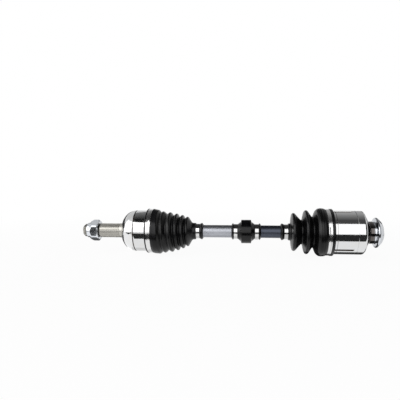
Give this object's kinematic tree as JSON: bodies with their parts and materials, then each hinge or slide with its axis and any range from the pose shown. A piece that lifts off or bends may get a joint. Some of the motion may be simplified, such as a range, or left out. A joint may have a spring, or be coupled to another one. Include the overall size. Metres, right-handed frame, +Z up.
{
  "type": "cv axle",
  "caption": "Car drive axle: a ball joint and splined stub at the wheel end, a plunging tripod joint at the gearbox end, ribbed rubber boots, a bar and a damper.",
  "frame": {"origin": "on the axle's axis, in the bare bar between the outer boot and the damper", "axes": "+X along the axle towards the gearbox end, +Z up, -Y towards the viewer of the picture"},
  "size_m": [0.5502, 0.0872, 0.0872],
  "materials": {
    "drawn_bar_steel": "dark blue-grey drawn steel",
    "bearing_steel": "ground and hardened",
    "spring_steel": "dark spring steel",
    "polished_forging": "turned and polished forging",
    "zinc_plate": "zinc plated",
    "stainless_band": "bright stainless strip",
    "boot_rubber": "satin black moulded rubber",
    "damper_rubber": "matt black moulded rubber",
    "cast_weight": "as cast"
  },
  "bodies": {
    "shaft": {"axle_bar": "drawn_bar_steel", "inner_race": "bearing_steel", "race_circlip": "spring_steel", "tripod_spider": "bearing_steel", "spider_circlip": "spring_steel", "roller_washers": "spring_steel", "roller_clips": "spring_steel", "damper_rubber": "damper_rubber", "damper_weight": "cast_weight", "damper_left_band": "stainless_band", "damper_right_band": "stainless_band", "outer_small_band": "stainless_band", "inner_small_band": "stainless_band"},
    "outer_boot": {"outer_boot": "boot_rubber"},
    "outer_cage": {"ball_cage": "bearing_steel", "cage_balls": "bearing_steel"},
    "top_ball": {"top_ball": "bearing_steel"},
    "outer_bell": {"outer_bell": "polished_forging", "outer_large_band": "stainless_band"},
    "hub_nut": {"hub_nut": "zinc_plate"},
    "needles_1": {"needles_1": "bearing_steel"},
    "inner_boot": {"inner_boot": "boot_rubber"},
    "inner_housing": {"inner_housing": "polished_forging", "bore_plug": "zinc_plate", "dust_shield": "zinc_plate", "inner_large_band": "stainless_band"},
    "roller_1": {"roller_1": "bearing_steel"},
    "roller_2": {"roller_2": "bearing_steel", "needles_2": "bearing_steel"},
    "roller_3": {"roller_3": "bearing_steel", "needles_3": "bearing_steel"}
  },
  "joints": [
    {"name": "outer_bump", "type": "hinge", "parent": "shaft", "child": "outer_boot", "pos_m": [-0.134, 0, 0], "axis": [0, 1, 0], "range_deg": [-7, 7], "deforming": ["outer_boot"]},
    {"name": "outer_steer", "type": "hinge", "parent": "outer_boot", "child": "outer_cage", "pos_m": [-0.134, 0, 0], "axis": [0, 0, 1], "range_deg": [-18, 18], "deforming": ["outer_boot"]},
    {"name": "outer_steer_half", "type": "hinge", "parent": "outer_cage", "child": "top_ball", "pos_m": [-0.134, 0, 0], "axis": [0, 0, 1], "range_deg": [-18, 18], "deforming": ["outer_boot"]},
    {"name": "outer_bump_half", "type": "hinge", "parent": "top_ball", "child": "outer_bell", "pos_m": [-0.134, 0, 0], "axis": [0, 1, 0], "range_deg": [-7, 7], "deforming": ["outer_boot"]},
    {"name": "hub_nut_unscrew", "type": "slide", "parent": "outer_bell", "child": "hub_nut", "axis": [-1, 0, 0], "range_m": [0, 0.045]},
    {"name": "inner_bump", "type": "hinge", "parent": "shaft", "child": "needles_1", "pos_m": [0.22, 0, 0], "axis": [0, 1, 0], "range_deg": [-15, 15], "deforming": ["inner_boot"]},
    {"name": "inner_swing", "type": "hinge", "parent": "needles_1", "child": "inner_boot", "pos_m": [0.22, 0, 0], "axis": [0, 0, 1], "range_deg": [-8, 8], "deforming": ["inner_boot"]},
    {"name": "plunge", "type": "slide", "parent": "inner_boot", "child": "inner_housing", "axis": [1, 0, 0], "range_m": [-0.012, 0.012], "deforming": ["inner_boot"]},
    {"name": "roller_1_spin", "type": "hinge", "parent": "shaft", "child": "roller_1", "pos_m": [0.22, 0, 0], "axis": [0, -1, 0], "range_deg": [-46, 46]},
    {"name": "roller_2_spin", "type": "hinge", "parent": "shaft", "child": "roller_2", "pos_m": [0.22, 0, 0], "axis": [0, 0.5, 0.866], "range_deg": [-46, 46]},
    {"name": "roller_3_spin", "type": "hinge", "parent": "shaft", "child": "roller_3", "pos_m": [0.22, 0, 0], "axis": [0, 0.5, -0.866], "range_deg": [-46, 46]}
  ],
  "couplings": [
    {"joint": "outer_steer_half", "follows": "outer_steer", "ratio": 1},
    {"joint": "outer_bump_half", "follows": "outer_bump", "ratio": 1},
    {"joint": "roller_1_spin", "follows": "plunge", "rad_per_m": 64.516},
    {"joint": "roller_2_spin", "follows": "plunge", "rad_per_m": 64.516},
    {"joint": "roller_3_spin", "follows": "plunge", "rad_per_m": 64.516}
  ]
}
